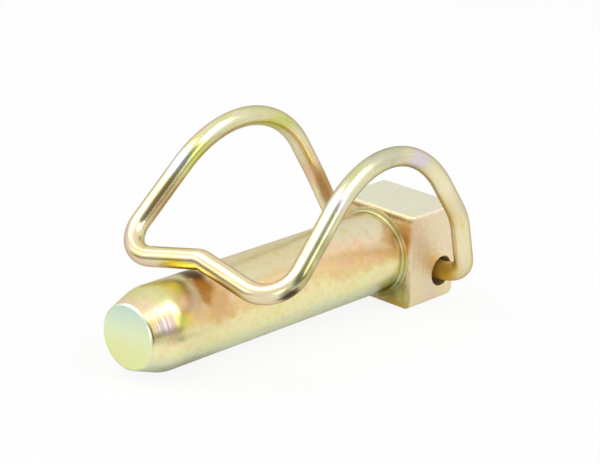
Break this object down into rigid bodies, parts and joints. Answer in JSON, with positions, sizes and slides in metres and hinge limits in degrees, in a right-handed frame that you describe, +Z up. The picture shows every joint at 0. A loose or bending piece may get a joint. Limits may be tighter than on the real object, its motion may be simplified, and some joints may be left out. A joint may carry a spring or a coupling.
{
  "type": "lynch pin",
  "caption": "Round steel locking pin with a square head, a tapered tip and a hinged round-wire bail that arches over a tube and closes across the pin.",
  "frame": {"origin": "on the shank's axis, in the plane of the head's shoulder", "axes": "+X along the shank towards the tip, +Z up through the arch of the closed bail"},
  "size_m": [0.0518, 0.0266, 0.0249],
  "materials": {
    "plated_pin": "yellow chromate passivated zinc plate over satin turned steel",
    "plated_wire": "yellow chromate passivated zinc plate over smooth drawn wire"
  },
  "bodies": {
    "pin": {"pin_body": "plated_pin"},
    "bail": {"wire_bail": "plated_wire"}
  },
  "joints": [
    {"name": "bail_hinge", "type": "hinge", "parent": "pin", "child": "bail", "pos_m": [-0.0066, 0, -0.0024], "axis": [0, -1, 0], "range_deg": [0, 335]}
  ]
}
